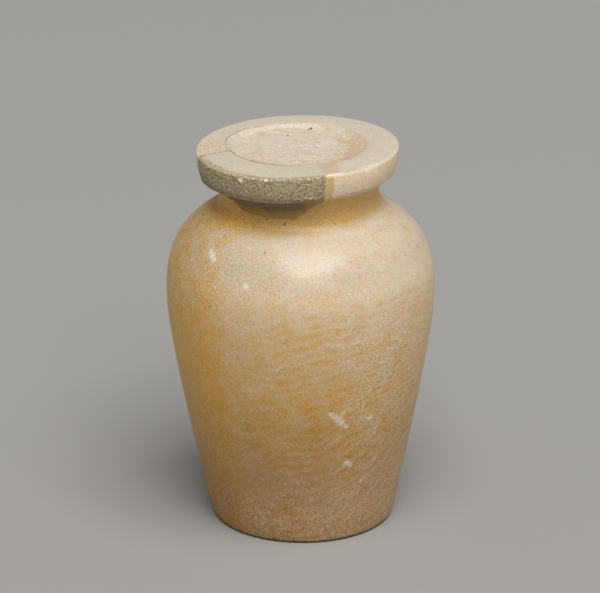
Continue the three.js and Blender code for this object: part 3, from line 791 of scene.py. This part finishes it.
holes = np.clip(lumps(mortar_points, 0.5, 24) - 0.45, 0, 1)
crumble = 0.03 * coarse + 0.05 * sandy + 0.08 * grit - 0.10 * holes - 0.04
mortar_points += (rough_share * crumble)[..., None] * outward
mortar_points[..., 2] += 0.35 * rough_share * crumble * smooth_step(mortar_heights, 76.5, 77.5)
ridge_place = smooth_step(mortar_degrees, 262, 274) * (1 - smooth_step(mortar_degrees, 284.5, 286))
ridge = ridge_place * np.exp(-((mortar_heights - 73.35) / 0.35) ** 2) * (0.20 + 0.18 * sandy)
mortar_points += (ridge * (rough_share > 0.3))[..., None] * outward

grain_paint = np.zeros(mortar_radii.shape)
for degree, height, size in [(236.4, 76.5, 0.46), (244.3, 77.3, 0.26), (252.1, 77.2, 0.40), (271.5, 77.6, 0.22),
                             (276.0, 77.5, 0.22), (270.0, 74.2, 0.22), (280.0, 73.6, 0.2), (236.8, 77.5, 0.2)]:
    centre = leaned(LIP_RADIUS, math.radians(degree), height)
    away = np.linalg.norm(mortar_points - centre, axis=-1)
    grain_paint = np.maximum(grain_paint, 1 - smooth_step(away, 0.8 * size, 1.15 * size))
mortar_points += (0.16 * grain_paint)[..., None] * outward
mortar_mesh = grid_mesh("lip_mortar", mortar_points, closed_across=False, closed_along=True)
paint(mortar_mesh, "grit", grain_paint)
face_paint = np.zeros(mortar_radii.shape)
face_paint[:edge_rows] = 1
face_paint[edge_rows:flat_rows] = np.linspace(1, 0.5, flat_rows - edge_rows)[:, None]
edge_wear = by_angle(mortar_degrees, [(190, 1.5), (235, 1.0), (262, 0.35), (286, 0.3)])
face_paint[flat_rows:back_rows] = 0.5 * (1 - smooth_step(lip_inset[0] - flat[0], 0.0, edge_wear))
paint(mortar_mesh, "face", face_paint)
paint(mortar_mesh, "hollow", 2.2 * holes + 0.5 * np.clip(-sandy, 0, 1))
# Painted shade: the band's lower part and the smear under the lip are painted dark.
shade_below = 1 - 0.55 * smooth_step(mortar_heights, 72.4, 72.9) - 0.45 * smooth_step(mortar_heights, 72.9, 74.4)
paint(mortar_mesh, "shade_below", shade_below)
thin = np.zeros(mortar_radii.shape)
thin[:face_rows] = 1 - smooth_step(cove_share, 0.0, 0.75)
thin[:face_rows] = np.maximum(0.7 * thin[:face_rows], 0.85 * smooth_step(mortar_degrees, 268, 280))
paint(mortar_mesh, "thin", thin)

MORTAR_TOP = (0.515, 0.450, 0.335, 1)
MORTAR_GRAIN = (0.860, 0.790, 0.610, 1)
MORTAR_FACE = (0.400, 0.325, 0.190, 1)
MORTAR_PALE = (0.720, 0.620, 0.410, 1)
MORTAR_DARK = (0.120, 0.090, 0.050, 1)
MORTAR_SHADE = (0.150, 0.115, 0.055, 1)
MORTAR_SMEAR = (0.440, 0.260, 0.070, 1)
mortar = bpy.data.materials.new("sandy_mortar")
mortar.use_nodes = True
tree = mortar.node_tree
shader = tree.nodes["Principled BSDF"]
place = millimetres(tree)
sand = grains(tree, place, 0.34, 2.0, 0.8)
patch = grains(tree, place, 2.4, 4.0, 0.6)
face_colour = blend(tree, ease(tree, sand, 0.48, 0.70, 0.0, 0.8), MORTAR_FACE, MORTAR_PALE)
face_colour = blend(tree, ease(tree, sand, 0.50, 0.32, 0.0, 0.7), face_colour, MORTAR_DARK)
sharp_grains = dotted(tree, place, 0.44, 0.13, 0.5)
face_colour = blend(tree, step(tree, "MULTIPLY", sharp_grains, 0.9), face_colour, MORTAR_PALE)
sharp_holes = dotted(tree, place, 0.48, 0.14, 0.55)
face_colour = blend(tree, sharp_holes, face_colour, MORTAR_DARK)
face_colour = blend(tree, ease(tree, patch, 0.45, 0.7, 0.0, 0.5), face_colour, MORTAR_FACE)
# Painted shade under the lip.
face_colour = blend(tree, step(tree, "MULTIPLY", painted(tree, "shade_below"), 0.8), face_colour, MORTAR_SHADE)
thin_share = step(tree, "MULTIPLY_ADD", step(tree, "SUBTRACT", patch, 0.5), 1.2, painted(tree, "thin"))
face_colour = blend(tree, ease(tree, thin_share, 0.1, 0.9), face_colour, MORTAR_SMEAR)
top_colour = blend(tree, ease(tree, sand, 0.45, 0.70, 0.0, 0.3), MORTAR_TOP, WHITE)
shown = step(tree, "MULTIPLY_ADD", step(tree, "SUBTRACT", patch, 0.5), 0.8, painted(tree, "face"))
colour = blend(tree, ease(tree, shown, 0.2, 0.6), top_colour, face_colour)
# Painted shade: the mortar's face is darker in its pits and hollows.
hollow = step(tree, "MULTIPLY", ease(tree, painted(tree, "hollow"), 0.25, 0.9), painted(tree, "face"))
colour = blend(tree, step(tree, "MULTIPLY", hollow, 0.35), colour, MORTAR_DARK)
colour = blend(tree, ease(tree, painted(tree, "grit"), 0.3, 0.7), colour, MORTAR_GRAIN)
tree.links.new(colour, shader.inputs["Base Color"])
shader.inputs["Roughness"].default_value = 0.9
shader.inputs["Specular IOR Level"].default_value = 0.25
bump = tree.nodes.new("ShaderNodeBump")
bump.inputs["Strength"].default_value = 1.0
bump.inputs["Distance"].default_value = 0.15 * MM
tree.links.new(step(tree, "MULTIPLY", sand, step(tree, "MULTIPLY_ADD", painted(tree, "face"), 0.8, 0.2)),
               bump.inputs["Height"])
tree.links.new(bump.outputs[0], shader.inputs["Normal"])
show("lip_mortar", mortar_mesh, mortar, "lip_repair")

# Floor
# The jar stands on plain grey paper that runs on behind it and curves up, so no horizon shows.
bend = np.linspace(0, math.pi / 2, 25)
along = np.concatenate([[-3000], 3000 + 1500 * np.sin(bend), [4500]])
up = np.concatenate([[0], 1500 * (1 - np.cos(bend)), [6000]])
paper_points = np.zeros((len(along), 3, 3))
paper_points[..., 0] = [-4000, 0, 4000]
paper_points[..., 1] = along[:, None]
paper_points[..., 2] = up[:, None]
paper_mesh = grid_mesh("paper", paper_points, closed_across=False)
paper = bpy.data.objects.new("paper", paper_mesh)
bpy.context.collection.objects.link(paper)
paper_material = bpy.data.materials.new("grey_paper")
paper_material.use_nodes = True
tree = paper_material.node_tree
paper_shader = tree.nodes["Principled BSDF"]
paper_shader.inputs["Base Color"].default_value = (0.335, 0.325, 0.312, 1)
paper_shader.inputs["Roughness"].default_value = 0.95
paper_shader.inputs["Specular IOR Level"].default_value = 0.1
paper_mesh.materials.append(paper_material)

# Camera
# It looks down on the jar by 21 degrees from in front, with a long lens, as the photograph was taken.
CAMERA_DISTANCE = 741.0
CAMERA_ELEVATION = math.radians(21.2)
LOOK_AT_HEIGHT = 39.0
PIXELS_PER_MM = 4.972
IMAGE_WIDTH = 600
SHIFT_DOWN_PX = 32.4
SHIFT_RIGHT_PX = 0.6
camera_data = bpy.data.cameras.new("camera")
camera_data.sensor_width = 36
camera_data.lens = PIXELS_PER_MM * CAMERA_DISTANCE * camera_data.sensor_width / IMAGE_WIDTH
camera_data.shift_x = -SHIFT_RIGHT_PX / IMAGE_WIDTH
camera_data.shift_y = SHIFT_DOWN_PX / IMAGE_WIDTH
camera_data.clip_end = 50
camera = bpy.data.objects.new("camera", camera_data)
bpy.context.collection.objects.link(camera)
target = Vector((0, 0, LOOK_AT_HEIGHT * MM))
away = Vector((0, -math.cos(CAMERA_ELEVATION), math.sin(CAMERA_ELEVATION)))
camera.location = target + away * CAMERA_DISTANCE * MM
camera.rotation_euler = (-away).to_track_quat("-Z", "Y").to_euler()
bpy.context.scene.camera = camera

# Light
# One broad softbox hangs overhead, a little to the front and right. A weaker one stands lower in front, and
# a dim even fill comes from all round.


def softbox(name, azimuth, elevation, distance, width, height, energy):
    """A soft lamp that faces the jar from those angles in degrees; lengths are in metres."""
    data = bpy.data.lights.new(name, "AREA")
    data.shape = "RECTANGLE"
    data.size = width
    data.size_y = height
    data.energy = energy
    lamp = bpy.data.objects.new(name, data)
    bpy.context.collection.objects.link(lamp)
    level = math.cos(math.radians(elevation))
    towards = Vector((
        level * math.cos(math.radians(azimuth)),
        level * math.sin(math.radians(azimuth)),
        math.sin(math.radians(elevation)),
    ))
    lamp.location = towards * distance
    lamp.rotation_euler = (-towards).to_track_quat("-Z", "Y").to_euler()


softbox("overhead_softbox", -70, 66, 6.5, 5.4, 4.2, 362)
softbox("front_softbox", -80, 44, 4.0, 2.2, 1.6, 50)
world = bpy.data.worlds.new("studio")
world.use_nodes = True
world.node_tree.nodes["Background"].inputs["Color"].default_value = (1, 1, 1, 1)
world.node_tree.nodes["Background"].inputs["Strength"].default_value = 0.25
bpy.context.scene.world = world
bpy.context.scene.view_settings.view_transform = "Standard"
